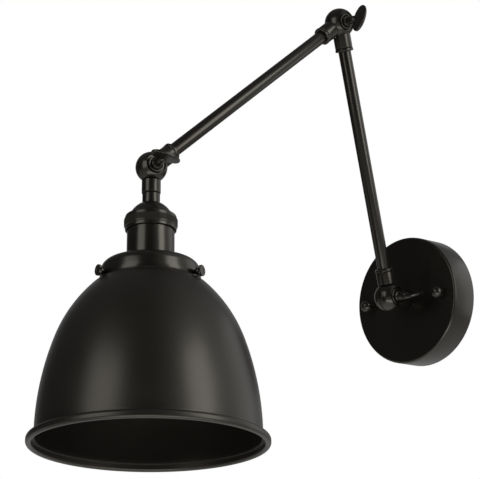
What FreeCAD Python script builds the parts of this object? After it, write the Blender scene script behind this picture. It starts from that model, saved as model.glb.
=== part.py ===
import FreeCAD, Part
import Sketcher
import math
import os
import types

# Articulating wall lamp: a round wall canopy, a turning stub, two tube arms
# between three split-ball knuckles with wing screws, and a socket head that
# carries a domed metal shade. Millimetres. The origin is the middle of the
# canopy's rear rim, on the wall plane; +Z is up and the lamp reaches to -Y.

document = FreeCAD.newDocument("WallLamp")
sheet = document.addObject("Spreadsheet::Sheet", "sizes")
nodes = []


# --- sizes that carry their own sheet formula -------------------------------

class Size:
    """A number of millimetres together with its formula in the sheet's names."""

    def __init__(self, value, formula):
        self.value = value
        self.formula = formula

    def __add__(self, other):
        other = as_size(other)
        return Size(self.value + other.value, f"({self.formula} + {other.formula})")

    def __sub__(self, other):
        other = as_size(other)
        return Size(self.value - other.value, f"({self.formula} - {other.formula})")

    def __mul__(self, other):
        other = as_size(other)
        return Size(self.value * other.value, f"({self.formula} * {other.formula})")

    def __truediv__(self, other):
        other = as_size(other)
        return Size(self.value / other.value, f"({self.formula} / {other.formula})")

    def __neg__(self):
        return Size(-self.value, f"(0 - {self.formula})")


def as_size(number):
    return number if isinstance(number, Size) else Size(float(number), str(number))


def root(size):
    return Size(math.sqrt(size.value), f"sqrt({size.formula})")


def chord_height(radius, distance):
    """How high a circle of this radius stands at this distance from its middle."""
    return root(radius * radius - distance * distance)


# Every size that can be set by itself, in millimetres or degrees.
SIZES = {
    # wall canopy and what hides in it
    "canopy_diameter": 122.5,
    "canopy_depth": 28,
    "canopy_wall": 1.2,
    "canopy_corner": 2.2,
    "stud_spacing": 88.9,
    "stud_diameter": 4,
    "cap_nut_diameter": 11.4,
    "cap_nut_foot": 8,
    "cap_nut_foot_height": 2.5,
    "bar_end_gap": 7,
    "bar_width": 18,
    "bar_thickness": 2,
    "bar_hub_diameter": 52,
    "bar_opening": 34,
    "box_slot_spacing": 79.4,
    "box_slot_length": 15,
    "box_slot_width": 5,
    "ground_screw_diameter": 4,
    "ground_head_diameter": 8,
    "ground_head_height": 2.4,

    # threaded tube, nuts and washers of the turning stub and of the socket
    "nipple_diameter": 10,
    "nipple_bore": 7,
    "nipple_reach": 9,
    "nipple_tail": 9,
    "nut_flats": 14,
    "nut_height": 4,
    "slip_washer_diameter": 22,
    "slip_washer_height": 1,
    "swivel_washer_diameter": 18,
    "spring_washer_height": 1.6,
    "thread_gap": 0.03,
    "running_gap": 0.06,

    # split-ball knuckle
    "ball_diameter": 28,
    "ball_wall": 3.5,
    "ball_seam": 0.8,
    "boss_diameter": 11,
    "recess_diameter": 18,
    "recess_depth": 2.1,
    "floor_wall": 2,
    "tap_wall": 5.4,
    "tap_relief": 1,
    "collar_diameter": 16.6,
    "collar_reach": 24.5,
    "collar_chamfer": 0.5,
    "collar_sweep_gap": 1.4,
    "wire_bore": 8,
    "seat_relief": 1,

    # wing screw and its washers
    "screw_diameter": 6,
    "cup_gap": 1.5,
    "cup_height": 2.6,
    "cup_floor": 1.2,
    "cup_lip": 1.6,
    "coil_gap": 0.9,
    "flange_diameter": 9.6,
    "flange_height": 1.4,
    "hub_diameter": 7.6,
    "hub_length": 8.5,
    "wing_length": 27,
    "wing_width": 16,
    "wing_thickness": 2.8,
    "wing_round": 1.1,

    # arms
    "arm_length": 265,
    "tube_diameter": 12,
    "tube_wall": 1,
    "spigot_length": 10,
    "lock_ring_diameter": 17.2,
    "lock_ring_height": 3,
    "lock_ring_chamfer": 0.5,
    "lead_diameter": 2.4,
    "lead_gap": 0.2,

    # socket head
    "neck_diameter": 15.4,
    "neck_length": 9.15,
    "neck_chamfer": 0.7,
    "cap_crown_width": 16.4,
    "cap_dome_width": 35.2,
    "cap_dome_height": 8.8,
    "cap_dome_radius": 22,
    "cap_shoulder": 4.5,
    "cap_corner": 2.2,
    "cap_skirt_height": 1.3,
    "cap_gap": 0.6,
    "cap_wall": 1.2,
    "ring_thickness": 2.8,
    "ring_height": 7.6,
    "ring_bevel": 0.5,
    "ring_lip_thickness": 1.7,
    "ring_lip_height": 2.8,
    "shell_diameter": 41.2,
    "shell_wall": 1,
    "shell_length": 36.6,
    "shell_thread_step": 0.5,
    "shell_thread_length": 5.6,
    "holder_ring_width": 2.05,
    "holder_ring_height": 4,
    "core_height": 28,
    "core_base": 5,
    "core_ledge": 1.9,
    "core_gap": 0.15,
    "lamp_thread_diameter": 26.3,
    "lamp_shell_length": 23,
    "lamp_shell_wall": 0.45,
    "lamp_shell_foot": 1.8,
    "contact_diameter": 8,
    "contact_height": 2.2,
    "terminal_spacing": 24,
    "terminal_diameter": 6,
    "terminal_height": 2.2,

    # shade holder and thumbscrews
    "holder_diameter": 87.2,
    "holder_wall": 1.2,
    "holder_crown_ledge": 1.8,
    "holder_slope_drop": 4.4,
    "holder_corner_width": 6.9,
    "holder_corner_drop": 7.4,
    "holder_corner_radius": 8.5,
    "holder_flare": 0.95,
    "holder_skirt_height": 11.1,
    "thumbscrew_diameter": 4,
    "thumbscrew_head_diameter": 9.8,
    "thumbscrew_head_height": 2.6,
    "thumbscrew_standoff": 5.2,
    "thumbscrew_bevel": 0.4,
    "thumbscrew_rise": 3.8,

    # shade
    "shade_neck_gap": 2.1,
    "shade_neck_height": 11,
    "shade_seat_gap": 0.5,
    "shade_wall": 1,
    "shade_diameter": 190.7,
    "shade_side_height": 83.7,
    "shade_side_inset": 14.6,
    "shade_dome_height": 132,
    "shade_shoulder_width": 8.7,
    "shade_shoulder_radius": 8,
    "rim_overhang": 6.65,
    "rim_height": 8,
    "rim_thickness": 5,
    "rim_round": 2.1,

    # the pose: how far each joint is turned as the lamp hangs
    "swivel_turn": 5,
    "lower_arm_lean": 17.6,
    "elbow_twist": -7.6,
    "elbow_fold": 67.4,
    "head_twist": -15.7,
    "head_tilt": 47,
    "base_wing_turn": 18,
    "elbow_wing_turn": 149,
    "head_wing_turn": 125,
    "thumbscrew_turn": 85,
}


def enter(alias, content):
    """Writes one cell of the sheet, with its alias and its name beside it."""
    enter.row += 1
    sheet.set(f"A{enter.row}", alias.replace("_", " "))
    sheet.set(f"B{enter.row}", content)
    sheet.setAlias(f"B{enter.row}", alias)


def worked_out(alias, size):
    """Enters a size that follows from others, so that later formulas stay short."""
    enter(alias, "=" + size.formula.replace("sizes.", ""))
    return Size(size.value, f"sizes.{alias}")


enter.row = 0
lamp = types.SimpleNamespace()
for alias, number in SIZES.items():
    enter(alias, str(number))
    setattr(lamp, alias, Size(float(number), f"sizes.{alias}"))

THUMBSCREWS = ("near_left", "rear", "near_right")
ACROSS = FreeCAD.Vector(1, 0, 0)
ALONG_Y = FreeCAD.Vector(0, 1, 0)
UPWARD = FreeCAD.Vector(0, 0, 1)


# --- small builders ----------------------------------------------------------

def bind(item, path, size):
    """Ties a property of an object to the sheet."""
    item.setExpression(path, as_size(size).formula)


def cylinder(name, radius, length, start=0):
    item = document.addObject("Part::Cylinder", name)
    bind(item, "Radius", radius)
    bind(item, "Height", length)
    bind(item, "Placement.Base.z", start)
    return item


def sphere(name, radius):
    item = document.addObject("Part::Sphere", name)
    bind(item, "Radius", radius)
    return item


def block(name, size_x, size_y, size_z, x=None, y=None, z=0):
    """A block, centred on x and y unless its low corner is given."""
    item = document.addObject("Part::Box", name)
    bind(item, "Length", size_x)
    bind(item, "Width", size_y)
    bind(item, "Height", size_z)
    bind(item, "Placement.Base.x", -as_size(size_x) / 2 if x is None else x)
    bind(item, "Placement.Base.y", -as_size(size_y) / 2 if y is None else y)
    bind(item, "Placement.Base.z", z)
    return item


def shifted(item, path, size):
    bind(item, f"Placement.Base.{path}", size)
    return item


def cut(name, base, *tools):
    tool = tools[0] if len(tools) == 1 else join(f"{name}_tools", *tools)
    item = document.addObject("Part::Cut", name)
    item.Base = base
    item.Tool = tool
    return item


def join(name, *items):
    item = document.addObject("Part::MultiFuse", name)
    item.Shapes = list(items)
    item.Refine = True
    return item


def overlap(name, *items):
    item = document.addObject("Part::MultiCommon", name)
    item.Shapes = list(items)
    return item


def arc_between(start, end, radius):
    """An arc from start to end; a positive radius keeps its middle on the left."""
    middle = (start + end) * 0.5
    along = end - start
    left = FreeCAD.Vector(-along.y, along.x, 0)
    left.normalize()
    rise = math.sqrt(radius * radius - along.Length ** 2 / 4)
    centre = middle + left * math.copysign(rise, radius)
    from_start = math.atan2(start.y - centre.y, start.x - centre.x)
    to_end = math.atan2(end.y - centre.y, end.x - centre.x)
    circle = Part.Circle(centre, UPWARD, abs(radius))
    if radius > 0:
        return Part.ArcOfCircle(circle, from_start, to_end), (1, 2)
    return Part.ArcOfCircle(circle, to_end, from_start), (2, 1)


def draw(sketch, outline):
    """Draws a closed outline. Each corner is (x, y), or (x, y, radius) where an
    arc of that radius leads to the next corner; every size is held by the sheet."""
    points = [FreeCAD.Vector(as_size(corner[0]).value, as_size(corner[1]).value, 0) for corner in outline]
    ends = []
    for number, corner in enumerate(outline):
        start = points[number]
        end = points[(number + 1) % len(points)]
        if len(corner) == 3:
            edge, order = arc_between(start, end, corner[2].value)
        else:
            edge, order = Part.LineSegment(start, end), (1, 2)
        sketch.addGeometry(edge)
        ends.append(order)
    for number in range(len(outline)):
        following = (number + 1) % len(outline)
        sketch.addConstraint(
            Sketcher.Constraint("Coincident", number, ends[number][1], following, ends[following][0])
        )
    for number, corner in enumerate(outline):
        for kind, axis, distance in (("DistanceX", -2, corner[0]), ("DistanceY", -1, corner[1])):
            size = as_size(distance)
            if size.value == 0:
                sketch.addConstraint(Sketcher.Constraint("PointOnObject", number, ends[number][0], axis))
                continue
            index = sketch.addConstraint(
                Sketcher.Constraint(kind, -1, 1, number, ends[number][0], size.value)
            )
            sketch.setExpression(f"Constraints[{index}]", size.formula)
        if len(corner) == 3:
            radius = corner[2] if corner[2].value > 0 else -corner[2]
            index = sketch.addConstraint(Sketcher.Constraint("Radius", number, radius.value))
            sketch.setExpression(f"Constraints[{index}]", radius.formula)


def plane(body, role):
    return next(item for item in body.Origin.OriginFeatures if item.Role == role)


def turned(name, outline):
    """A body turned about its own Z axis; the outline's corners are (radius, height)."""
    body = document.addObject("PartDesign::Body", name)
    sketch = body.newObject("Sketcher::SketchObject", f"{name}_profile")
    sketch.AttachmentSupport = [(plane(body, "XZ_Plane"), "")]
    sketch.MapMode = "FlatFace"
    draw(sketch, outline)
    revolution = body.newObject("PartDesign::Revolution", f"{name}_turning")
    revolution.Profile = sketch
    revolution.ReferenceAxis = (sketch, ["V_Axis"])
    revolution.Angle = 360
    return body


def frame(x=0, y=0, z=0, axis=UPWARD, angle=0):
    """A placement: a shift, then a turn about one axis by an angle in degrees."""
    return FreeCAD.Placement(FreeCAD.Vector(x, y, z), FreeCAD.Rotation(axis, angle))


def node(label, item, place):
    """Names a finished sub-part and sets it in its place."""
    item.Label = label
    item.Placement = place
    nodes.append(item)
    return item


def washer(name, bore, diameter, height, start):
    return turned(name, [
        (bore / 2, start),
        (diameter / 2, start),
        (diameter / 2, start + height),
        (bore / 2, start + height),
    ])


def spring_washer(name, bore, diameter, height, start):
    """A split ring."""
    ring = washer(f"{name}_ring", bore, diameter, height, start)
    gap = block(f"{name}_gap", diameter, height, height, x=0, z=start)
    return cut(name, ring, gap)


def hex_nut(name, bore, height, start):
    prism = document.addObject("Part::Prism", f"{name}_prism")
    prism.Polygon = 6
    bind(prism, "Circumradius", lamp.nut_flats / root(as_size(3)))
    bind(prism, "Height", height)
    bind(prism, "Placement.Base.z", start)
    return cut(name, prism, cylinder(f"{name}_bore", bore / 2, height, start))


# --- frames of the linkage ----------------------------------------------------
# The wall frame's Z points off the wall. In a knuckle frame Z is the wing
# screw's axis and X is the way its collar points.

wall_frame = frame(axis=ACROSS, angle=90)
ball_standoff = lamp.canopy_depth + lamp.collar_reach

base_pivot = frame(y=-ball_standoff.value, axis=ALONG_Y, angle=lamp.swivel_turn.value)
lower_arm_frame = base_pivot * frame(axis=ACROSS, angle=lamp.lower_arm_lean.value)
elbow_pivot = lower_arm_frame * frame(z=lamp.arm_length.value, angle=lamp.elbow_twist.value)
upper_arm_frame = elbow_pivot * frame(axis=ACROSS, angle=-lamp.elbow_fold.value)
head_pivot = upper_arm_frame * frame(z=-lamp.arm_length.value, angle=lamp.head_twist.value)
head_frame = head_pivot * frame(axis=ACROSS, angle=lamp.head_tilt.value + 180)


def knuckle_frame(pivot, collar_turn):
    """From a pivot frame, whose X is the screw, to a knuckle frame whose collar
    is turned about the screw from the pivot's Z by this many degrees."""
    to_collar = frame(axis=ACROSS, angle=collar_turn)
    screw_up = FreeCAD.Placement(FreeCAD.Vector(), FreeCAD.Rotation(UPWARD, ALONG_Y, ACROSS))
    return pivot * to_collar * screw_up


stub_knuckle = knuckle_frame(base_pivot, -90)
lower_root_knuckle = knuckle_frame(lower_arm_frame, 0)
lower_tip_knuckle = knuckle_frame(elbow_pivot, 180)
upper_root_knuckle = knuckle_frame(upper_arm_frame, 180)
upper_tip_knuckle = knuckle_frame(head_pivot, 0)
head_knuckle = knuckle_frame(head_frame, 0)


# --- split-ball knuckles -------------------------------------------------------

ball_radius = lamp.ball_diameter / 2
cavity_radius = ball_radius - lamp.ball_wall
half_seam = lamp.ball_seam / 2
recess_rim = chord_height(ball_radius, lamp.recess_diameter / 2)
recess_floor = worked_out("recess_floor", recess_rim - lamp.recess_depth)
ceiling = recess_floor - lamp.floor_wall
tap_depth = ball_radius - lamp.tap_wall
screw_clear = lamp.screw_diameter + lamp.running_gap * 2
spigot_diameter = lamp.tube_diameter - lamp.tube_wall * 2
spigot_bore = spigot_diameter + lamp.running_gap * 2
cup_diameter = lamp.recess_diameter - lamp.cup_gap * 2
coil_diameter = cup_diameter - (lamp.cup_lip + lamp.coil_gap) * 2
flange_seat = recess_floor + lamp.cup_floor + lamp.spring_washer_height
wing_standoff = flange_seat + lamp.flange_height + lamp.hub_length


def near_half_shell(name):
    """The hollow half that faces the wing: a recess for its washers outside, and
    a boss round the screw inside."""
    return turned(name, [
        (screw_clear / 2, half_seam),
        (lamp.boss_diameter / 2, half_seam),
        (lamp.boss_diameter / 2, ceiling),
        (chord_height(cavity_radius, ceiling), ceiling, -cavity_radius),
        (chord_height(cavity_radius, half_seam), half_seam),
        (chord_height(ball_radius, half_seam), half_seam, ball_radius),
        (lamp.recess_diameter / 2, recess_rim),
        (lamp.recess_diameter / 2, recess_floor),
        (screw_clear / 2, recess_floor),
    ])


def far_half_shell(name):
    """The hollow half that the wing screw is threaded into, closed outside."""
    return turned(name, [
        (screw_clear / 2, half_seam),
        (lamp.boss_diameter / 2, half_seam),
        (lamp.boss_diameter / 2, ceiling),
        (chord_height(cavity_radius, ceiling), ceiling, -cavity_radius),
        (chord_height(cavity_radius, half_seam), half_seam),
        (chord_height(ball_radius, half_seam), half_seam, ball_radius),
        (0, ball_radius),
        (0, tap_depth),
        (screw_clear / 2, tap_depth),
    ])


def knuckle_half(name, shell):
    """A half ball with its radial collar. The collar stays whole on its own side
    of the seam; on the other side it is cut back to let the other half turn."""
    collar = turned(f"{name}_collar", [
        (0, 0),
        (lamp.collar_diameter / 2, 0),
        (lamp.collar_diameter / 2, lamp.collar_reach - lamp.collar_chamfer),
        (lamp.collar_diameter / 2 - lamp.collar_chamfer, lamp.collar_reach),
        (0, lamp.collar_reach),
    ])
    collar.Placement = frame(axis=ALONG_Y, angle=90)
    own_side = block(f"{name}_own_side", lamp.ball_diameter * 2, lamp.ball_diameter,
                     lamp.ball_diameter, z=half_seam)
    inside_wall = sphere(f"{name}_inside_wall", ball_radius - lamp.ball_wall / 2)
    sweep = sphere(f"{name}_sweep", ball_radius + lamp.collar_sweep_gap)
    outer_collar = cut(f"{name}_outer_collar", collar, sweep)
    own_collar = overlap(f"{name}_own_collar", collar, own_side)
    root_collar = cut(f"{name}_root_collar", own_collar, inside_wall)
    solid = join(f"{name}_solid", shell, outer_collar, root_collar)
    wire_way = cylinder(f"{name}_wire_way", lamp.wire_bore / 2, lamp.collar_reach)
    wire_way.Placement.Rotation = FreeCAD.Rotation(ALONG_Y, 90)
    bind(wire_way, "Placement.Base.z", 0)
    bind(wire_way, "Placement.Base.x", lamp.boss_diameter / 2 + lamp.floor_wall)
    seat = cylinder(f"{name}_seat", spigot_bore / 2, lamp.spigot_length + lamp.seat_relief)
    seat.Placement.Rotation = FreeCAD.Rotation(ALONG_Y, 90)
    bind(seat, "Placement.Base.z", 0)
    bind(seat, "Placement.Base.x", lamp.collar_reach - lamp.spigot_length)
    return cut(name, solid, wire_way, seat)


FLIPPED = frame(axis=ACROSS, angle=180)


def near_half(label, place):
    node(label, knuckle_half(label, near_half_shell(f"{label}_shell")), place)


def far_half(label, place):
    node(label, knuckle_half(label, far_half_shell(f"{label}_shell")), place * FLIPPED)


def wing_screw(name):
    """Shank, flange, hub and a flat oval wing whose plane holds the screw's axis."""
    hub_end = wing_standoff + lamp.wing_width / 4
    spindle = turned(f"{name}_spindle", [
        (0, 0),
        (lamp.screw_diameter / 2, 0),
        (lamp.screw_diameter / 2, flange_seat),
        (lamp.flange_diameter / 2, flange_seat),
        (lamp.flange_diameter / 2, flange_seat + lamp.flange_height),
        (lamp.hub_diameter / 2, flange_seat + lamp.flange_height),
        (lamp.hub_diameter / 2, wing_standoff),
        (lamp.wing_thickness / 2, hub_end),
        (0, hub_end),
    ])
    reach = tap_depth - lamp.tap_relief
    shank = cylinder(f"{name}_shank", lamp.screw_diameter / 2, reach, -reach)
    oval = document.addObject("Part::Ellipse", f"{name}_oval")
    bind(oval, "MajorRadius", lamp.wing_length / 2)
    bind(oval, "MinorRadius", lamp.wing_width / 2)
    blade = document.addObject("Part::Extrusion", f"{name}_blade")
    blade.Base = oval
    blade.DirMode = "Custom"
    blade.Dir = UPWARD
    bind(blade, "LengthFwd", lamp.wing_thickness)
    blade.Solid = True
    blade.Placement.Rotation = FreeCAD.Rotation(ACROSS, UPWARD, FreeCAD.Vector(0, -1, 0), "XYZ")
    bind(blade, "Placement.Base.y", lamp.wing_thickness / 2)
    bind(blade, "Placement.Base.z", wing_standoff + lamp.wing_width / 2)
    document.recompute()
    softened = document.addObject("Part::Fillet", f"{name}_softened")
    softened.Base = blade
    rims = [number + 1 for number, edge in enumerate(blade.Shape.Edges) if edge.isClosed()]
    softened.Edges = [(number, lamp.wing_round.value, lamp.wing_round.value) for number in rims]
    return join(name, spindle, shank, softened)


def clamp_stack(prefix, place, wing_turn):
    """The cup washer, split washer and wing screw that squeeze one knuckle."""
    lip = recess_floor + lamp.cup_height
    cup = turned(f"{prefix}_cup_washer", [
        (screw_clear / 2, recess_floor),
        (cup_diameter / 2, recess_floor),
        (cup_diameter / 2, lip - lamp.cup_lip / 2, lamp.cup_lip / 2),
        (cup_diameter / 2 - lamp.cup_lip / 2, lip),
        (cup_diameter / 2 - lamp.cup_lip, lip),
        (coil_diameter / 2 + lamp.running_gap, recess_floor + lamp.cup_floor),
        (screw_clear / 2, recess_floor + lamp.cup_floor),
    ])
    node(f"{prefix}_cup_washer", cup, place)
    coil = spring_washer(f"{prefix}_spring_washer", screw_clear, coil_diameter,
                         lamp.spring_washer_height, recess_floor + lamp.cup_floor)
    node(f"{prefix}_spring_washer", coil, place)
    node(f"{prefix}_wing_screw", wing_screw(f"{prefix}_wing_screw"), place * frame(angle=wing_turn.value))


def friction_ring(label, place):
    """The thin ring between two half balls, on which they turn."""
    ring = turned(label, [
        (cavity_radius, 0),
        (ball_radius - lamp.ball_seam, 0),
        (ball_radius - lamp.ball_seam, lamp.ball_seam),
        (cavity_radius, lamp.ball_seam),
    ])
    node(label, ring, place * frame(z=-half_seam.value))


# --- wall canopy ---------------------------------------------------------------

bar_length = lamp.canopy_diameter - (lamp.canopy_wall + lamp.bar_end_gap) * 2
nipple_tap = lamp.nipple_diameter + lamp.thread_gap * 2
ground_place = (lamp.bar_opening + lamp.bar_hub_diameter) / 4


def canopy():
    outside = lamp.canopy_diameter / 2
    inside = outside - lamp.canopy_wall
    inner_corner = lamp.canopy_corner - lamp.canopy_wall
    pan = turned("canopy_pan", [
        (0, lamp.canopy_depth - lamp.canopy_wall),
        (inside - inner_corner, lamp.canopy_depth - lamp.canopy_wall, -inner_corner),
        (inside, lamp.canopy_depth - lamp.canopy_corner),
        (inside, 0),
        (outside, 0),
        (outside, lamp.canopy_depth - lamp.canopy_corner, lamp.canopy_corner),
        (outside - lamp.canopy_corner, lamp.canopy_depth),
        (0, lamp.canopy_depth),
    ])
    nipple_hole = lamp.nipple_diameter / 2 + lamp.running_gap
    stud_hole = lamp.stud_diameter / 2 + lamp.running_gap
    centre = cylinder("canopy_centre_hole", nipple_hole, lamp.canopy_depth * 2)
    left = cylinder("canopy_left_hole", stud_hole, lamp.canopy_depth * 2)
    right = cylinder("canopy_right_hole", stud_hole, lamp.canopy_depth * 2)
    shifted(left, "x", -lamp.stud_spacing / 2)
    shifted(right, "x", lamp.stud_spacing / 2)
    node("canopy", cut("canopy", pan, centre, left, right), wall_frame)


def slot(name, middle_y):
    """A rounded slot through the bar, with its length along Y."""
    straight = lamp.box_slot_length - lamp.box_slot_width
    middle = block(f"{name}_middle", lamp.box_slot_width, straight, lamp.bar_thickness,
                   y=middle_y - straight / 2)
    low = cylinder(f"{name}_low", lamp.box_slot_width / 2, lamp.bar_thickness)
    high = cylinder(f"{name}_high", lamp.box_slot_width / 2, lamp.bar_thickness)
    shifted(low, "y", middle_y - straight / 2)
    shifted(high, "y", middle_y + straight / 2)
    return join(name, middle, low, high)


def mounting_bar():
    """A flat cross with an open hub: studs across, slots for the wall box upright."""
    hub = cylinder("bar_hub", lamp.bar_hub_diameter / 2, lamp.bar_thickness)
    level = block("bar_level", bar_length, lamp.bar_width, lamp.bar_thickness)
    upright = block("bar_upright", lamp.bar_width, bar_length, lamp.bar_thickness)
    cross = join("bar_cross", hub, level, upright)
    opening = cylinder("bar_opening", lamp.bar_opening / 2, lamp.bar_thickness)
    stud_tap = lamp.stud_diameter / 2 + lamp.thread_gap
    ground_tap = lamp.ground_screw_diameter / 2 + lamp.thread_gap
    left = shifted(cylinder("bar_left_tap", stud_tap, lamp.bar_thickness), "x", -lamp.stud_spacing / 2)
    right = shifted(cylinder("bar_right_tap", stud_tap, lamp.bar_thickness), "x", lamp.stud_spacing / 2)
    ground = shifted(cylinder("bar_ground_tap", ground_tap, lamp.bar_thickness), "y", ground_place)
    lower_slot = slot("bar_lower_slot", -lamp.box_slot_spacing / 2)
    upper_slot = slot("bar_upper_slot", lamp.box_slot_spacing / 2)
    bar = cut("mounting_bar", cross, opening, left, right, ground, lower_slot, upper_slot)
    node("mounting_bar", bar, wall_frame)


def studs_and_nuts():
    ball = lamp.cap_nut_diameter / 2
    foot = lamp.cap_nut_foot / 2
    centre_height = lamp.cap_nut_foot_height + chord_height(ball, foot)
    stud_top = lamp.canopy_depth + centre_height
    studs = []
    nuts = []
    for side, sign in (("left", -1), ("right", 1)):
        place = lamp.stud_spacing * sign / 2
        studs.append(shifted(cylinder(f"{side}_stud", lamp.stud_diameter / 2, stud_top), "x", place))
        nut = turned(f"{side}_cap_nut", [
            (lamp.stud_diameter / 2 + lamp.thread_gap, 0),
            (foot, 0),
            (foot, lamp.cap_nut_foot_height, ball),
            (0, centre_height + ball),
            (0, centre_height + lamp.thread_gap),
            (lamp.stud_diameter / 2 + lamp.thread_gap, centre_height + lamp.thread_gap),
        ])
        bind(nut, "Placement.Base.z", lamp.canopy_depth)
        nuts.append(shifted(nut, "x", place))
    node("canopy_studs", join("canopy_studs", *studs), wall_frame)
    node("canopy_cap_nuts", join("canopy_cap_nuts", *nuts), wall_frame)


def ground_screw():
    head = lamp.ground_head_diameter / 2
    screw = turned("ground_screw", [
        (0, 0),
        (lamp.ground_screw_diameter / 2, 0),
        (lamp.ground_screw_diameter / 2, lamp.bar_thickness),
        (head, lamp.bar_thickness),
        (head, lamp.bar_thickness + lamp.ground_head_height / 2),
        (head - lamp.ground_head_height / 2, lamp.bar_thickness + lamp.ground_head_height),
        (0, lamp.bar_thickness + lamp.ground_head_height),
    ])
    node("ground_screw", screw, wall_frame * frame(y=ground_place.value))


def swivel_fastening():
    """The threaded tube that holds the stub to the canopy and lets it turn."""
    inner_face = lamp.canopy_depth - lamp.canopy_wall
    slip_face = inner_face - lamp.slip_washer_height
    nut_face = slip_face - lamp.spring_washer_height
    bore = lamp.nipple_diameter + lamp.running_gap * 2
    slip = washer("swivel_slip_washer", bore, lamp.slip_washer_diameter, lamp.slip_washer_height, slip_face)
    node("swivel_slip_washer", slip, wall_frame)
    spring = spring_washer("swivel_spring_washer", bore, lamp.swivel_washer_diameter,
                           lamp.spring_washer_height, nut_face)
    turned_place = frame(axis=ALONG_Y, angle=lamp.swivel_turn.value) * wall_frame
    node("swivel_spring_washer", spring, turned_place)
    nut = hex_nut("swivel_lock_nut", nipple_tap, lamp.nut_height, nut_face - lamp.nut_height)
    node("swivel_lock_nut", nut, turned_place)
    length = lamp.nipple_tail + lamp.canopy_wall + lamp.nipple_reach
    tube = washer("swivel_nipple", lamp.nipple_bore, lamp.nipple_diameter, length,
                  inner_face - lamp.nipple_tail)
    node("swivel_nipple", tube, turned_place)


# --- arms ------------------------------------------------------------------------

def arm(prefix, place):
    """A tube between two knuckles, with its lock rings and the two leads inside.
    The Z of its place runs along the arm."""
    length = lamp.arm_length - lamp.collar_reach * 2
    outer = lamp.tube_diameter / 2
    inner = outer - lamp.tube_wall
    neck = spigot_diameter / 2
    neck_inner = neck - lamp.tube_wall
    start = lamp.collar_reach
    end = lamp.collar_reach + length
    tube = turned(f"{prefix}_arm_tube", [
        (neck_inner, start - lamp.spigot_length),
        (neck, start - lamp.spigot_length),
        (neck, start),
        (outer, start),
        (outer, end),
        (neck, end),
        (neck, end + lamp.spigot_length),
        (neck_inner, end + lamp.spigot_length),
        (neck_inner, end - lamp.tube_wall),
        (inner, end - lamp.tube_wall * 2),
        (inner, start + lamp.tube_wall * 2),
        (neck_inner, start + lamp.tube_wall),
    ])
    node(f"{prefix}_arm_tube", tube, place)
    rings = []
    for side, low in (("first", start), ("second", end - lamp.lock_ring_height)):
        rings.append(turned(f"{prefix}_{side}_lock_ring", [
            (outer + lamp.thread_gap, low),
            (lamp.lock_ring_diameter / 2 - lamp.lock_ring_chamfer, low),
            (lamp.lock_ring_diameter / 2, low + lamp.lock_ring_chamfer),
            (lamp.lock_ring_diameter / 2, low + lamp.lock_ring_height - lamp.lock_ring_chamfer),
            (lamp.lock_ring_diameter / 2 - lamp.lock_ring_chamfer, low + lamp.lock_ring_height),
            (outer + lamp.thread_gap, low + lamp.lock_ring_height),
        ]))
    node(f"{prefix}_arm_lock_rings", join(f"{prefix}_arm_lock_rings", *rings), place)
    leads = []
    apart = lamp.lead_diameter + lamp.lead_gap
    aside = chord_height(neck_inner - lamp.lead_gap - lamp.lead_diameter / 2, apart / 2)
    for side, sign in (("live", -1), ("neutral", 1)):
        lead = cylinder(f"{prefix}_{side}_lead", lamp.lead_diameter / 2, length + lamp.spigot_length * 2,
                        start - lamp.spigot_length)
        shifted(lead, "x", apart * sign / 2)
        leads.append(shifted(lead, "y", -aside))
    node(f"{prefix}_arm_leads", join(f"{prefix}_arm_leads", *leads), place)


# --- socket head ------------------------------------------------------------------
# Heights run down the shade's axis from the middle of the last ball.

neck_end = worked_out("neck_end", lamp.collar_reach + lamp.neck_length)
dome_end = worked_out("dome_end", neck_end + lamp.cap_dome_height)
shoulder_end = worked_out("shoulder_end", dome_end + lamp.cap_shoulder)
skirt_end = worked_out("skirt_end", shoulder_end + lamp.cap_skirt_height)
shell_start = shoulder_end
shell_end = worked_out("shell_end", shell_start + lamp.shell_length)
core_start = shell_start
shell_inside = lamp.shell_diameter / 2 - lamp.shell_wall
holder_bore = lamp.shell_diameter / 2 - lamp.shell_thread_step + lamp.thread_gap
holder_top = shell_end
holder_corner_start = worked_out("holder_corner_start", holder_top + lamp.holder_slope_drop)
holder_corner_end = worked_out("holder_corner_end", holder_corner_start + lamp.holder_corner_drop)
holder_end = worked_out("holder_end", holder_corner_end + lamp.holder_skirt_height)
thumbscrew_height = holder_end - lamp.thumbscrew_rise
shade_neck_radius = lamp.holder_diameter / 2 - lamp.holder_wall - lamp.shade_neck_gap


def socket_neck():
    """The short turned spacer; its threaded ends go into the knuckle and the cap."""
    outer = lamp.neck_diameter / 2
    thread = lamp.nipple_diameter / 2
    spacer = turned("socket_neck", [
        (lamp.nipple_bore / 2, lamp.collar_reach - lamp.nipple_reach),
        (thread, lamp.collar_reach - lamp.nipple_reach),
        (thread, lamp.collar_reach),
        (outer - lamp.neck_chamfer, lamp.collar_reach),
        (outer, lamp.collar_reach + lamp.neck_chamfer),
        (outer, neck_end),
        (thread, neck_end),
        (thread, neck_end + lamp.cap_wall + lamp.nut_height),
        (lamp.nipple_bore / 2, neck_end + lamp.cap_wall + lamp.nut_height),
    ])
    node("socket_neck", spacer, head_frame)
    nut = hex_nut("socket_neck_nut", nipple_tap, lamp.nut_height, neck_end + lamp.cap_wall)
    node("socket_neck_nut", nut, head_frame)


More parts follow.
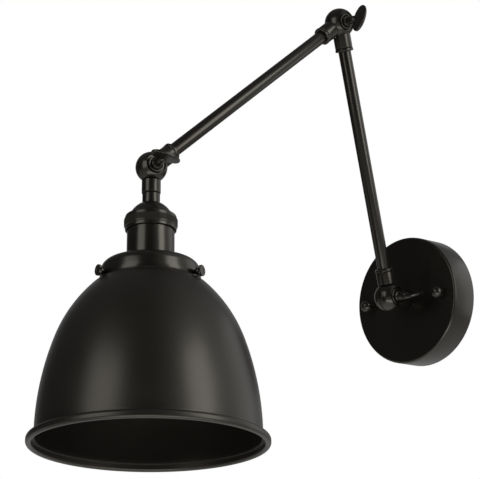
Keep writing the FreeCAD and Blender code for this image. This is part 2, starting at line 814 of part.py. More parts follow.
def socket_cap():
    """A spun cap: a flat crown, a domed top, a step out and a straight skirt."""
    hole = lamp.nipple_diameter / 2 + lamp.thread_gap
    crown = lamp.cap_crown_width / 2
    dome = lamp.cap_dome_width / 2
    skirt = lamp.shell_diameter / 2 + lamp.cap_gap + lamp.cap_wall
    step = shoulder_end - lamp.cap_corner
    cap = turned("socket_cap", [
        (hole, neck_end),
        (crown, neck_end, lamp.cap_dome_radius),
        (dome, dome_end),
        (dome + lamp.cap_wall, step),
        (skirt - lamp.cap_corner, step, lamp.cap_corner),
        (skirt, shoulder_end),
        (skirt, skirt_end),
        (skirt - lamp.cap_wall, skirt_end),
        (skirt - lamp.cap_wall, shoulder_end, lamp.cap_wall - lamp.cap_corner),
        (skirt - lamp.cap_corner, step + lamp.cap_wall),
        (dome, step + lamp.cap_wall),
        (dome - lamp.cap_wall, dome_end + lamp.cap_wall, -lamp.cap_dome_radius),
        (crown, neck_end + lamp.cap_wall),
        (hole, neck_end + lamp.cap_wall),
    ])
    node("socket_cap", cap, head_frame)


def knurled_ring():
    """The ring below the cap: a broad band, a bevel and a thinner lip."""
    bore = lamp.shell_diameter / 2 + lamp.running_gap
    outer = lamp.shell_diameter / 2 + lamp.ring_thickness
    lip = lamp.shell_diameter / 2 + lamp.ring_lip_thickness
    band_end = skirt_end + lamp.ring_height
    ring = turned("knurled_ring", [
        (bore, skirt_end),
        (outer - lamp.ring_bevel, skirt_end),
        (outer, skirt_end + lamp.ring_bevel),
        (outer, band_end - lamp.ring_bevel),
        (lip + lamp.ring_bevel, band_end),
        (lip, band_end + lamp.ring_lip_height),
        (lip - lamp.ring_bevel, band_end + lamp.ring_lip_height),
        (bore, band_end),
    ])
    node("knurled_ring", ring, head_frame)


def socket_shell():
    """The straight shell, stepped down to a thread where the holder seats."""
    outer = lamp.shell_diameter / 2
    thread = outer - lamp.shell_thread_step
    shell = turned("socket_shell", [
        (shell_inside, shell_start),
        (outer, shell_start),
        (outer, shell_end),
        (thread, shell_end),
        (thread, shell_end + lamp.shell_thread_length),
        (shell_inside, shell_end + lamp.shell_thread_length),
    ])
    node("socket_shell", shell, head_frame)
    ring = washer("holder_ring", holder_bore * 2, (holder_bore + lamp.holder_ring_width) * 2,
                  lamp.holder_ring_height, shell_end + lamp.holder_wall)
    node("holder_ring", ring, head_frame)


def socket_inside():
    """The porcelain core with its brass screw shell, contact and terminals."""
    core_outer = shell_inside - lamp.core_gap
    well = lamp.lamp_thread_diameter / 2 + lamp.lamp_shell_wall + lamp.core_gap
    lead_hole = lamp.wire_bore / 4
    well_floor = core_start + lamp.core_base
    ledge = well_floor + lamp.core_ledge
    thread = lamp.lamp_thread_diameter / 2
    foot = thread - lamp.lamp_shell_foot
    core = turned("socket_core", [
        (lead_hole, core_start),
        (core_outer, core_start),
        (core_outer, core_start + lamp.core_height),
        (well, core_start + lamp.core_height),
        (well, ledge),
        (foot, ledge),
        (foot, well_floor),
        (lead_hole, well_floor),
    ])
    node("socket_core", core, head_frame)
    shell_outer = well - lamp.core_gap
    thread_start = ledge + lamp.lamp_shell_wall
    thread_end = thread_start + lamp.lamp_shell_length
    brass = turned("lamp_screw_shell", [
        (foot, ledge),
        (shell_outer, ledge),
        (shell_outer, thread_end),
        (thread, thread_end),
        (thread, thread_start),
        (foot, thread_start),
    ])
    node("lamp_screw_shell", brass, head_frame)
    rise = lamp.contact_height / 2
    reach = lamp.contact_diameter / 2
    crown_radius = (reach * reach + rise * rise) / lamp.contact_height
    contact = turned("centre_contact", [
        (0, well_floor - lamp.core_base),
        (lead_hole - lamp.thread_gap, well_floor - lamp.core_base),
        (lead_hole - lamp.thread_gap, well_floor),
        (reach, well_floor),
        (reach, well_floor + rise, crown_radius),
        (0, well_floor + lamp.contact_height),
    ])
    node("centre_contact", contact, head_frame)
    screws = []
    for side, sign in (("live", -1), ("neutral", 1)):
        screw = turned(f"{side}_terminal", [
            (0, 0),
            (lamp.terminal_diameter / 2, 0),
            (lamp.terminal_diameter / 2, lamp.terminal_height),
            (0, lamp.terminal_height),
        ])
        bind(screw, "Placement.Base.z", core_start - lamp.terminal_height)
        screws.append(shifted(screw, "x", lamp.terminal_spacing * sign / 2))
    node("terminal_screws", join("terminal_screws", *screws), head_frame)


def shade_holder():
    """The spun holder: a flat crown on the shell, a shoulder, and a skirt that the
    thumbscrews pass through."""
    crown = lamp.shell_diameter / 2 + lamp.holder_crown_ledge
    mouth = lamp.holder_diameter / 2
    corner = mouth - lamp.holder_corner_width
    waist = mouth - lamp.holder_flare
    form = turned("shade_holder_form", [
        (holder_bore, holder_top),
        (crown, holder_top),
        (corner, holder_corner_start, lamp.holder_corner_radius),
        (waist, holder_corner_end),
        (mouth, holder_end),
        (mouth - lamp.holder_wall, holder_end),
        (waist - lamp.holder_wall, holder_corner_end, lamp.holder_wall - lamp.holder_corner_radius),
        (corner - lamp.holder_wall / 4, holder_corner_start + lamp.holder_wall),
        (crown, holder_top + lamp.holder_wall),
        (holder_bore, holder_top + lamp.holder_wall),
    ])
    holes = []
    for number, side in enumerate(THUMBSCREWS):
        hole = cylinder(f"holder_{side}_hole", lamp.thumbscrew_diameter / 2 + lamp.running_gap,
                        lamp.holder_diameter, thumbscrew_height)
        hole.Placement = thumbscrew_place(number)
        holes.append(hole)
    node("shade_holder", cut("shade_holder", form, *holes), head_frame)


def thumbscrew_place(number):
    """A frame whose Z runs out along one thumbscrew, from the shade's axis."""
    around = frame(z=thumbscrew_height.value, angle=lamp.thumbscrew_turn.value + 120 * number)
    return around * frame(axis=ALONG_Y, angle=90)


def thumbscrews():
    tip = shade_neck_radius + lamp.running_gap
    head = lamp.holder_diameter / 2 + lamp.thumbscrew_standoff
    head_end = head + lamp.thumbscrew_head_height
    knob = lamp.thumbscrew_head_diameter / 2
    for number, side in enumerate(THUMBSCREWS):
        screw = turned(f"thumbscrew_{side}", [
            (0, tip),
            (lamp.thumbscrew_diameter / 2, tip),
            (lamp.thumbscrew_diameter / 2, head),
            (knob - lamp.thumbscrew_bevel, head),
            (knob, head + lamp.thumbscrew_bevel),
            (knob, head_end - lamp.thumbscrew_bevel),
            (knob - lamp.thumbscrew_bevel, head_end),
            (0, head_end),
        ])
        node(f"thumbscrew_{side}", screw, head_frame * thumbscrew_place(number))


def dome_shade():
    """The spun shade: a straight neck, a round shoulder, a dome of two arcs that
    run into each other and into the shoulder, and a rolled rim. Points are first
    worked out as (radius, height above the widest circle)."""
    wide = lamp.shade_diameter / 2
    side_radius = worked_out("shade_side_radius", (
        lamp.shade_side_inset * lamp.shade_side_inset + lamp.shade_side_height * lamp.shade_side_height
    ) / (lamp.shade_side_inset * 2))
    side = (wide - lamp.shade_side_inset, lamp.shade_side_height)
    inward = (
        worked_out("shade_inward_across", (side_radius - lamp.shade_side_inset) / side_radius),
        worked_out("shade_inward_down", lamp.shade_side_height / side_radius),
    )
    top = (shade_neck_radius + lamp.shade_shoulder_width, lamp.shade_dome_height)
    narrower = side[0] - top[0]
    taller = top[1] - side[1]
    dome_radius = worked_out("shade_dome_radius", (narrower * narrower + taller * taller)
                             / ((inward[0] * narrower - inward[1] * taller) * 2))
    dome_middle = (side[0] - inward[0] * dome_radius, side[1] - inward[1] * dome_radius)
    share = worked_out("shade_shoulder_share", lamp.shade_shoulder_radius / dome_radius)
    shoulder_middle = (
        worked_out("shade_shoulder_across", top[0] - (top[0] - dome_middle[0]) * share),
        worked_out("shade_shoulder_up", top[1] - (top[1] - dome_middle[1]) * share),
    )
    seat = worked_out("shade_seat", holder_end + lamp.shade_seat_gap)
    equator = worked_out("shade_equator", seat + shoulder_middle[1] + lamp.shade_shoulder_radius)

    def inside(point, middle, radius):
        """Where a point on an arc comes to lie on the shade's inner face."""
        share = lamp.shade_wall / radius
        return point[0] - (point[0] - middle[0]) * share, point[1] - (point[1] - middle[1]) * share

    inner_side = inside(side, dome_middle, dome_radius)
    inner_top = inside(top, dome_middle, dome_radius)
    rim = wide + lamp.rim_overhang
    rim_low = equator + lamp.rim_height
    shade = turned("dome_shade", [
        (shade_neck_radius - lamp.shade_wall, seat - lamp.shade_neck_height),
        (shade_neck_radius, seat - lamp.shade_neck_height),
        (shade_neck_radius, seat),
        (shoulder_middle[0], seat, lamp.shade_shoulder_radius),
        (top[0], equator - top[1], dome_radius),
        (side[0], equator - side[1], side_radius),
        (wide, equator),
        (rim - lamp.rim_round, equator, lamp.rim_round),
        (rim, equator + lamp.rim_round),
        (rim, rim_low - lamp.rim_round, lamp.rim_round),
        (rim - lamp.rim_round, rim_low),
        (rim - lamp.rim_thickness, rim_low),
        (wide - lamp.shade_wall, equator + lamp.rim_round),
        (wide - lamp.shade_wall, equator, lamp.shade_wall - side_radius),
        (inner_side[0], equator - inner_side[1], lamp.shade_wall - dome_radius),
        (inner_top[0], equator - inner_top[1], lamp.shade_wall - lamp.shade_shoulder_radius),
        (shoulder_middle[0], seat + lamp.shade_wall),
        (shade_neck_radius - lamp.shade_wall, seat + lamp.shade_wall),
    ])
    node("dome_shade", shade, head_frame)


# --- the whole lamp -----------------------------------------------------------------

canopy()
mounting_bar()
studs_and_nuts()
ground_screw()
swivel_fastening()

near_half("stub_knuckle", stub_knuckle)
far_half("lower_arm_root_knuckle", lower_root_knuckle)
friction_ring("base_friction_ring", lower_root_knuckle)
clamp_stack("base", stub_knuckle, lamp.base_wing_turn)

arm("lower", lower_arm_frame)
near_half("lower_arm_tip_knuckle", lower_tip_knuckle)
far_half("upper_arm_root_knuckle", upper_root_knuckle)
friction_ring("elbow_friction_ring", upper_root_knuckle)
clamp_stack("elbow", lower_tip_knuckle, lamp.elbow_wing_turn)

arm("upper", upper_arm_frame * FLIPPED)
near_half("upper_arm_tip_knuckle", upper_tip_knuckle)
far_half("head_knuckle", head_knuckle)
friction_ring("head_friction_ring", head_knuckle)
clamp_stack("head", upper_tip_knuckle, lamp.head_wing_turn)

socket_neck()
socket_cap()
knurled_ring()
socket_shell()
socket_inside()
shade_holder()
thumbscrews()
dome_shade()

document.recompute()

# --- checks and export -----------------------------------------------------------------

for item in document.Objects:
    if "Invalid" in item.State or "Error" in item.State:
        raise RuntimeError(f"{item.Name} could not be made: {item.State}")
os.makedirs("parts", exist_ok=True)
for item in nodes:
    if item.Shape.isNull() or not item.Shape.isValid():
        raise RuntimeError(f"{item.Label} has no valid shape")
    item.Shape.exportStep(f"parts/{item.Label}.step")
print(f"{len(nodes)} sub-parts written")
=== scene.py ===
import math

import bmesh
import bpy
from mathutils import Matrix, Vector

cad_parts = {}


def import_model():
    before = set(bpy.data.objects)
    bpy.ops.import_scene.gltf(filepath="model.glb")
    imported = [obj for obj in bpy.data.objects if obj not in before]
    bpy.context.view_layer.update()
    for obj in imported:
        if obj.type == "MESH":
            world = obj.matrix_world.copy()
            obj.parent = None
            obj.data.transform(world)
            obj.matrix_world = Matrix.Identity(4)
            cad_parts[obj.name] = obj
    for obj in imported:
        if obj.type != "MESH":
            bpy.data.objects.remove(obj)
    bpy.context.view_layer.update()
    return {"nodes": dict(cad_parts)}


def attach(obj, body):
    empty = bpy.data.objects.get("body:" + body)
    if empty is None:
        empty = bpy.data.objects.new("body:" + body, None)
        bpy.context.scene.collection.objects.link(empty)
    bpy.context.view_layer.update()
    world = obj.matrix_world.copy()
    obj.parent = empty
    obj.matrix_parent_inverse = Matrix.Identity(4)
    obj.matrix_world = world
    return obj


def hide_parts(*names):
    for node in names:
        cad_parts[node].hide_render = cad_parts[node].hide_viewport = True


# Articulating wall lamp in satin black: canopy, split-ball knuckles with wing
# screws, two tube arms, knurled socket ring and a spun dome shade. Outlines are
# in millimetres, as (radius, height) pairs along each piece's own axis. Angles
# are in degrees.

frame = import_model()
nodes = frame["nodes"]

MM = 0.001
ACROSS = Vector((1, 0, 0))
ALONG_Y = Vector((0, 1, 0))
UPWARD = Vector((0, 0, 1))


# --- where each piece sits ----------------------------------------------------

BASE_PIVOT_OUT = 52.5
ARM_LENGTH = 265
COLLAR_REACH = 24.5
STUB_TURN = 5
LOWER_ARM_LEAN = 17.6
ELBOW_TWIST = -7.6
ELBOW_LEAN = -67.4
HEAD_TWIST = -15.7
SHADE_LEAN = 47


def place(x=0, y=0, z=0, axis=UPWARD, angle=0):
    """A frame shifted by millimetres, then turned by degrees about its own axis."""
    shift = Matrix.Translation((x * MM, y * MM, z * MM))
    return shift @ Matrix.Rotation(math.radians(angle), 4, axis)


# Z goes to X and X to Z, with Y turned over.
SCREW_UP = Matrix(((0, 0, 1, 0), (0, -1, 0, 0), (1, 0, 0, 0), (0, 0, 0, 1)))
FLIPPED = place(axis=ACROSS, angle=180)

wall_place = place(axis=ACROSS, angle=90)
base_pivot = place(y=-BASE_PIVOT_OUT, axis=ALONG_Y, angle=STUB_TURN)
lower_arm_place = base_pivot @ place(axis=ACROSS, angle=LOWER_ARM_LEAN)
elbow_pivot = lower_arm_place @ place(z=ARM_LENGTH, angle=ELBOW_TWIST)
upper_arm_place = elbow_pivot @ place(axis=ACROSS, angle=ELBOW_LEAN)
head_pivot = upper_arm_place @ place(z=-ARM_LENGTH, angle=HEAD_TWIST)
head_place = head_pivot @ place(axis=ACROSS, angle=SHADE_LEAN + 180)


def knuckle(pivot, collar_turn):
    """A frame whose Z is the wing screw and whose X runs out of the collar."""
    return pivot @ place(axis=ACROSS, angle=collar_turn) @ SCREW_UP


stub_knuckle = knuckle(base_pivot, -90)
lower_root_knuckle = knuckle(lower_arm_place, 0)
lower_tip_knuckle = knuckle(elbow_pivot, 180)
upper_root_knuckle = knuckle(upper_arm_place, 180)
upper_tip_knuckle = knuckle(head_pivot, 0)
head_knuckle = knuckle(head_place, 0)


# --- effects shared by the finishes -------------------------------------------

BUMP_DEPTH = 0.0001


def new_group(name, inputs):
    """A group that puts out a colour, a roughness and a normal, and its inputs."""
    group = bpy.data.node_groups.new(name, "ShaderNodeTree")
    for label, kind, value in inputs:
        socket = group.interface.new_socket(name=label, in_out="INPUT", socket_type=kind)
        socket.default_value = value
    for label, kind in (
        ("Colour", "NodeSocketColor"), ("Roughness", "NodeSocketFloat"), ("Normal", "NodeSocketVector"),
    ):
        group.interface.new_socket(name=label, in_out="OUTPUT", socket_type=kind)
    return group, group.nodes.new("NodeGroupInput").outputs


def put_out(group, colour, roughness, normal):
    made = group.nodes.new("NodeGroupOutput")
    group.links.new(colour, made.inputs["Colour"])
    group.links.new(roughness, made.inputs["Roughness"])
    group.links.new(normal, made.inputs["Normal"])


def feed(tree, socket, value):
    """A number sets the socket, and another node's output is linked to it."""
    if isinstance(value, (int, float)):
        socket.default_value = value
    else:
        tree.links.new(value, socket)


def math_node(tree, operation, first, second):
    node = tree.nodes.new("ShaderNodeMath")
    node.operation = operation
    feed(tree, node.inputs[0], first)
    feed(tree, node.inputs[1], second)
    return node.outputs[0]


def noise(tree, coordinates, scale, detail):
    node = tree.nodes.new("ShaderNodeTexNoise")
    node.inputs["Detail"].default_value = detail
    feed(tree, node.inputs["Scale"], scale)
    tree.links.new(coordinates, node.inputs["Vector"])
    return node.outputs["Fac"]


def bumped(tree, height, strength):
    node = tree.nodes.new("ShaderNodeBump")
    node.inputs["Distance"].default_value = BUMP_DEPTH
    tree.links.new(strength, node.inputs["Strength"])
    tree.links.new(height, node.inputs["Height"])
    return node.outputs["Normal"]


def mixed_tones(tree, share, first, second):
    node = tree.nodes.new("ShaderNodeMix")
    node.data_type = "RGBA"
    tree.links.new(share, node.inputs["Factor"])
    tree.links.new(first, node.inputs["A"])
    tree.links.new(second, node.inputs["B"])
    return node.outputs["Result"]


def coat_group():
    """Sprayed coat: fine orange peel, slow drift of sheen and tone, a few specks
    of dust, and dust that settles on what faces up."""
    drift_scale, speck_scale = 22.0, 1400.0
    speck_level, speck_share = 0.7, 0.5
    sheen_drift, dust_roughness = 0.12, 0.5
    group, given = new_group("Sprayed coat", [
        ("Tone", "NodeSocketColor", (0.01, 0.01, 0.01, 1)),
        ("Dust tone", "NodeSocketColor", (0.06, 0.057, 0.052, 1)),
        ("Roughness", "NodeSocketFloat", 0.35),
        ("Peel scale", "NodeSocketFloat", 900.0),
        ("Peel height", "NodeSocketFloat", 0.15),
        ("Dust", "NodeSocketFloat", 0.1),
    ])
    on_piece = group.nodes.new("ShaderNodeTexCoord").outputs["Object"]
    peel = noise(group, on_piece, given["Peel scale"], 3.0)
    drift = noise(group, on_piece, drift_scale, 3.0)
    specks = noise(group, on_piece, speck_scale, 1.0)
    facing = group.nodes.new("ShaderNodeSeparateXYZ")
    group.links.new(group.nodes.new("ShaderNodeNewGeometry").outputs["Normal"], facing.inputs[0])
    settled = math_node(group, "MAXIMUM", facing.outputs["Z"], 0.0)
    speck_mask = math_node(group, "GREATER_THAN", specks, speck_level)
    dusty = math_node(group, "MULTIPLY", settled, drift)
    dusty = math_node(group, "ADD", dusty, math_node(group, "MULTIPLY", speck_mask, speck_share))
    dusty = math_node(group, "MULTIPLY", dusty, given["Dust"])
    sheen = math_node(group, "MULTIPLY", math_node(group, "SUBTRACT", drift, 0.5), sheen_drift)
    rough = math_node(group, "ADD", given["Roughness"], sheen)
    rough = math_node(group, "ADD", rough, math_node(group, "MULTIPLY", dusty, dust_roughness))
    colour = mixed_tones(group, dusty, given["Tone"], given["Dust tone"])
    put_out(group, colour, rough, bumped(group, peel, given["Peel height"]))
    return group


def worked_metal_group():
    """Plated or drawn metal: hairline scratches, stains and slight unevenness."""
    scratch_scale, scratch_stretch, stain_scale = 600.0, 14, 90.0
    stain_middle, stain_roughness = 0.4, 0.25
    group, given = new_group("Worked metal", [
        ("Tone", "NodeSocketColor", (0.6, 0.6, 0.58, 1)),
        ("Stain tone", "NodeSocketColor", (0.3, 0.28, 0.24, 1)),
        ("Roughness", "NodeSocketFloat", 0.3),
        ("Scratch height", "NodeSocketFloat", 0.2),
        ("Stain", "NodeSocketFloat", 0.3),
    ])
    on_piece = group.nodes.new("ShaderNodeTexCoord").outputs["Object"]
    stretched = group.nodes.new("ShaderNodeMapping")
    stretched.inputs["Scale"].default_value = (1, 1, scratch_stretch)
    group.links.new(on_piece, stretched.inputs["Vector"])
    scratches = noise(group, stretched.outputs["Vector"], scratch_scale, 2.0)
    stains = noise(group, on_piece, stain_scale, 4.0)
    stained = math_node(group, "MULTIPLY", stains, given["Stain"])
    uneven = math_node(group, "MULTIPLY", math_node(group, "SUBTRACT", stains, stain_middle), stain_roughness)
    rough = math_node(group, "ADD", given["Roughness"], uneven)
    colour = mixed_tones(group, stained, given["Tone"], given["Stain tone"])
    put_out(group, colour, rough, bumped(group, scratches, given["Scratch height"]))
    return group


# --- finishes -----------------------------------------------------------------

def tone(red, green, blue):
    return (red, green, blue, 1)


def finish_of(name, group, values, **plain):
    """A material: the group's colour, roughness and normal, and plain sockets."""
    material = bpy.data.materials.new(name)
    material.use_nodes = True
    tree = material.node_tree
    shader = next(node for node in tree.nodes if node.type == "BSDF_PRINCIPLED")
    effect = tree.nodes.new("ShaderNodeGroup")
    effect.node_tree = group
    for label, value in values.items():
        effect.inputs[label].default_value = value
    tree.links.new(effect.outputs["Colour"], shader.inputs["Base Color"])
    tree.links.new(effect.outputs["Roughness"], shader.inputs["Roughness"])
    tree.links.new(effect.outputs["Normal"], shader.inputs["Normal"])
    for label, value in plain.items():
        shader.inputs[label.replace("_", " ")].default_value = value
    return material


COAT = coat_group()
METAL = worked_metal_group()
BLACK = tone(0.0056, 0.0047, 0.0038)
WARM = tone(1, 0.94, 0.82)

FINISHES = {
    "satin_black": finish_of("Satin black coat", COAT, {
        "Tone": BLACK, "Roughness": 0.23, "Peel height": 0.1, "Dust": 0.05,
    }, Specular_Tint=WARM),
    "shade_black": finish_of("Shade black coat", COAT, {
        "Tone": BLACK, "Roughness": 0.34, "Peel scale": 700.0, "Peel height": 0.12, "Dust": 0.03,
    }, Specular_Tint=WARM),
    "zinc_steel": finish_of("Zinc plate", METAL, {}, Metallic=1.0),
    "brass": finish_of("Rolled brass", METAL, {
        "Tone": tone(0.78, 0.56, 0.25), "Stain tone": tone(0.35, 0.2, 0.08), "Roughness": 0.24,
    }, Metallic=1.0),
    "ground_green": finish_of("Green ground screw", METAL, {
        "Tone": tone(0.05, 0.3, 0.09), "Stain tone": tone(0.02, 0.12, 0.04),
    }, Metallic=0.6),
    "porcelain": finish_of("Glazed porcelain", COAT, {
        "Tone": tone(0.8, 0.79, 0.75), "Dust tone": tone(0.5, 0.46, 0.4), "Roughness": 0.18,
        "Peel scale": 300.0, "Peel height": 0.1, "Dust": 0.3,
    }),
    "nylon": finish_of("Natural nylon", COAT, {
        "Tone": tone(0.72, 0.7, 0.64), "Dust tone": tone(0.4, 0.38, 0.34), "Roughness": 0.5, "Dust": 0.3,
    }),
    "fibre": finish_of("Dark fibre", COAT, {
        "Tone": tone(0.012, 0.011, 0.01), "Roughness": 0.8, "Peel scale": 2500.0, "Peel height": 0.6,
    }),
    "lead_insulation": finish_of("Lead insulation", COAT, {"Tone": tone(0.02, 0.02, 0.02), "Roughness": 0.5}),
}


# --- making pieces ------------------------------------------------------------

TOUCHING = 1e-7
TOUCHING_AFTER_CARVING = 2e-6


def bend(start, end, radius, steps):
    """Points of an arc from start to end; a positive radius keeps its middle left."""
    first, last = Vector(start), Vector(end)
    along = last - first
    left = Vector((-along.y, along.x)).normalized()
    rise = math.sqrt(radius * radius - along.length_squared / 4)
    centre = (first + last) / 2 + left * math.copysign(rise, radius)
    from_start = math.atan2(first.y - centre.y, first.x - centre.x)
    sweep = 2 * math.asin(min(1, along.length / 2 / abs(radius))) * math.copysign(1, radius)
    angles = [from_start + sweep * step / steps for step in range(1, steps)]
    middle = [(centre.x + abs(radius) * math.cos(a), centre.y + abs(radius) * math.sin(a)) for a in angles]
    return [tuple(start), *middle, tuple(end)]


def chain(mesh, outline):
    """The vertices and edges of an outline, drawn in the plane of X and Z."""
    points = [mesh.verts.new((radius * MM, 0, height * MM)) for radius, height in outline]
    return points, [mesh.edges.new(pair) for pair in zip(points, points[1:])]


def turned(mesh, geometry, steps):
    """A full turn of the geometry about Z."""
    bmesh.ops.spin(mesh, geom=geometry, cent=(0, 0, 0), axis=(0, 0, 1), angle=math.tau,
                   steps=steps, use_merge=True)
    bmesh.ops.remove_doubles(mesh, verts=mesh.verts, dist=TOUCHING)


def climbing(mesh, geometry, steps, angle, rise):
    """Part of a turn or several turns about Z, with a rise in millimetres a step."""
    bmesh.ops.spin(mesh, geom=geometry, cent=(0, 0, 0), axis=(0, 0, 1), angle=angle,
                   dvec=(0, 0, rise * MM), steps=steps)


def soften(mesh, width, limit=24):
    """Rounds every edge that turns more sharply than the limit."""
    sharp = [edge for edge in mesh.edges
             if len(edge.link_faces) == 2 and edge.calc_face_angle() > math.radians(limit)]
    bmesh.ops.bevel(mesh, geom=sharp, offset=width * MM, offset_type="OFFSET", segments=3, profile=0.5,
                    affect="EDGES", material=-1, clamp_overlap=True)


def spun(outline, steps, edge):
    """A solid turned about Z, with its edges softened by that width. An outline
    that starts and ends on the axis stays open there, so that it closes in a point."""
    mesh = bmesh.new()
    points, line = chain(mesh, outline)
    if outline[0][0] > 0 or outline[-1][0] > 0:
        line.append(mesh.edges.new((points[-1], points[0])))
    turned(mesh, points + line, steps)
    bmesh.ops.dissolve_degenerate(mesh, dist=TOUCHING, edges=mesh.edges)
    bmesh.ops.recalc_face_normals(mesh, faces=mesh.faces)
    if edge:
        soften(mesh, edge)
    return mesh


def cut_level(mesh, height, way):
    """Clears what lies above a height, or below it where the way is -1."""
    bmesh.ops.bisect_plane(mesh, geom=[*mesh.verts, *mesh.edges, *mesh.faces],
                           plane_co=(0, 0, height * MM), plane_no=(0, 0, way), clear_outer=True)


def close_ends(mesh):
    bmesh.ops.holes_fill(mesh, edges=[edge for edge in mesh.edges if edge.is_boundary])
    bmesh.ops.recalc_face_normals(mesh, faces=mesh.faces)


def merged(*meshes):
    """Several bmeshes as one."""
    whole = bmesh.new()
    for mesh in meshes:
        carrier = bpy.data.meshes.new("carrier")
        mesh.to_mesh(carrier)
        whole.from_mesh(carrier)
        bpy.data.meshes.remove(carrier)
        mesh.free()
    return whole


def moved(mesh, matrix):
    bmesh.ops.transform(mesh, matrix=matrix, verts=mesh.verts)
    return mesh


def as_object(mesh, name):
    data = bpy.data.meshes.new(name)
    mesh.to_mesh(data)
    mesh.free()
    item = bpy.data.objects.new(name, data)
    bpy.context.scene.collection.objects.link(item)
    return item


def carved(body, operation, tool):
    """The body after it is joined with the tool or cut by it."""
    holder = as_object(body, "carved_body")
    helper = as_object(tool, "carving_tool")
    carving = holder.modifiers.new("carving", "BOOLEAN")
    carving.operation = operation
    carving.solver = "EXACT"
    carving.object = helper
    bpy.context.view_layer.update()
    shape = bpy.data.meshes.new_from_object(holder.evaluated_get(bpy.context.evaluated_depsgraph_get()))
    result = bmesh.new()
    result.from_mesh(shape)
    for item in (holder, helper):
        bpy.data.objects.remove(item)
    bmesh.ops.remove_doubles(result, verts=result.verts, dist=TOUCHING_AFTER_CARVING)
    bmesh.ops.dissolve_degenerate(result, dist=TOUCHING_AFTER_CARVING, edges=result.edges)
    return result


def smooth(mesh, limit):
    """Shades the mesh smooth, apart from edges that turn more than the limit."""
    for face in mesh.faces:
        face.smooth = True
    for edge in mesh.edges:
        edge.smooth = len(edge.link_faces) == 2 and edge.calc_face_angle() < math.radians(limit)


def piece(name, mesh, where, body, node, finish="satin_black", limit=34):
    """Puts a finished mesh in its place, on its body, for the node it replaces."""
    moved(mesh, where)
    smooth(mesh, limit)
    item = as_object(mesh, name)
    item.data.materials.append(FINISHES[finish])
    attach(item, body)
    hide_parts(node)


def painted(finish, *names):
    """Gives carried-over nodes their finish."""
    for name in names:
        data = nodes[name].data
        data.materials.clear()
        data.materials.append(FINISHES[finish])


# --- wall canopy --------------------------------------------------------------

CANOPY_DEPTH = 28
STUD_REACH = 44.45


def canopy():
    """A pan that is open to the wall, with a rounded edge and a hole for the stub."""
    hole, inside, outside = 5.1, 60.05, 61.25
    face = CANOPY_DEPTH - 1.2
    inner_bend, outer_bend = 1, 2.2
    pan = spun([
        (hole, face), *bend((inside - inner_bend, face), (inside, face - inner_bend), -inner_bend, 4),
        (inside, 0), (outside, 0),
        *bend((outside, CANOPY_DEPTH - outer_bend), (outside - outer_bend, CANOPY_DEPTH), outer_bend, 8),
        (hole, CANOPY_DEPTH),
    ], 160, 0.12)
    piece("canopy_pan", pan, wall_place, "wall_base", "canopy")


def cap_nut():
    return spun([
        (0, CANOPY_DEPTH), (3.8, CANOPY_DEPTH), (4, 28.3), (4, 30.2),
        *bend((4.02, 30.52), (0, 40.25), 5.7, 18),
    ], 48, 0)


canopy()
cap_nuts = merged(*[moved(cap_nut(), place(x=side * STUD_REACH)) for side in (-1, 1)])
piece("cap_nuts", cap_nuts, wall_place, "wall_base", "canopy_cap_nuts")


# --- knuckles -----------------------------------------------------------------

BALL = 14.0
BALL_INSIDE = 10.5
HALF_SEAM = 0.4
SCREW_HOLE = 3.06
HUB = 5.5
HUB_FLOOR = 6.6
RECESS = 9
RECESS_FLOOR = 8.6
COLLAR = 8.3
SCOOP = 15.4


def at_height(radius, height):
    """How far out a ball's skin is at a height above its centre."""
    return math.sqrt(radius * radius - height * height)


def half_ball(near):
    """A half ball shell about Z, with its recess on the near half."""
    inner = (at_height(BALL_INSIDE, HALF_SEAM), HALF_SEAM)
    outer = (at_height(BALL, HALF_SEAM), HALF_SEAM)
    hollow = bend((at_height(BALL_INSIDE, HUB_FLOOR), HUB_FLOOR), inner, -BALL_INSIDE, 8)
    if near:
        skin = bend(outer, (RECESS, at_height(BALL, RECESS)), BALL, 20)
        outline = [
            (SCREW_HOLE, HALF_SEAM), (HUB, HALF_SEAM), (HUB, HUB_FLOOR), *hollow, *skin,
            (RECESS, RECESS_FLOOR), (SCREW_HOLE, RECESS_FLOOR),
        ]
    else:
        skin = bend(outer, (0, BALL), BALL, 28)
        outline = [(0, HUB_FLOOR), (HUB, HUB_FLOOR), *hollow, *skin]
    return spun(outline, 96, 0.15)


def collar():
    """The round collar along X, cut back round the other half's ball."""
    start, chamfer = 6, 0.5
    solid = spun([
        (0, start), (COLLAR, start), (COLLAR, COLLAR_REACH - chamfer), (COLLAR - chamfer, COLLAR_REACH),
        (0, COLLAR_REACH),
    ], 72, 0.15)
    moved(solid, place(axis=ALONG_Y, angle=90))
    scoop = bmesh.new()
    bmesh.ops.create_uvsphere(scoop, u_segments=96, v_segments=48, radius=SCOOP * MM)
    cut_level(scoop, HALF_SEAM, 1)
    close_ends(scoop)
    return carved(solid, "DIFFERENCE", scoop)


def knuckle_half(name, near, where, body):
    shell = carved(half_ball(near), "UNION", collar())
    piece(f"{name}_half", shell, where if near else where @ FLIPPED, body, name, limit=30)


knuckle_half("stub_knuckle", True, stub_knuckle, "swivel_stub")
knuckle_half("lower_arm_root_knuckle", False, lower_root_knuckle, "lower_arm")
knuckle_half("lower_arm_tip_knuckle", True, lower_tip_knuckle, "lower_arm")
knuckle_half("upper_arm_root_knuckle", False, upper_root_knuckle, "upper_arm")
knuckle_half("upper_arm_tip_knuckle", True, upper_tip_knuckle, "upper_arm")
knuckle_half("head_knuckle", False, head_knuckle, "lamp_head")


# --- clamp hardware, with heights above each ball's centre --------------------

def cup_washer():
    return spun([
        (3.1, 8.65), (7.3, 8.65), *bend((7.5, 10.4), (6.7, 11.2), 0.8, 5), (5.9, 11.2),
        (5.2, 9.9), (3.1, 9.8),
    ], 64, 0.12)


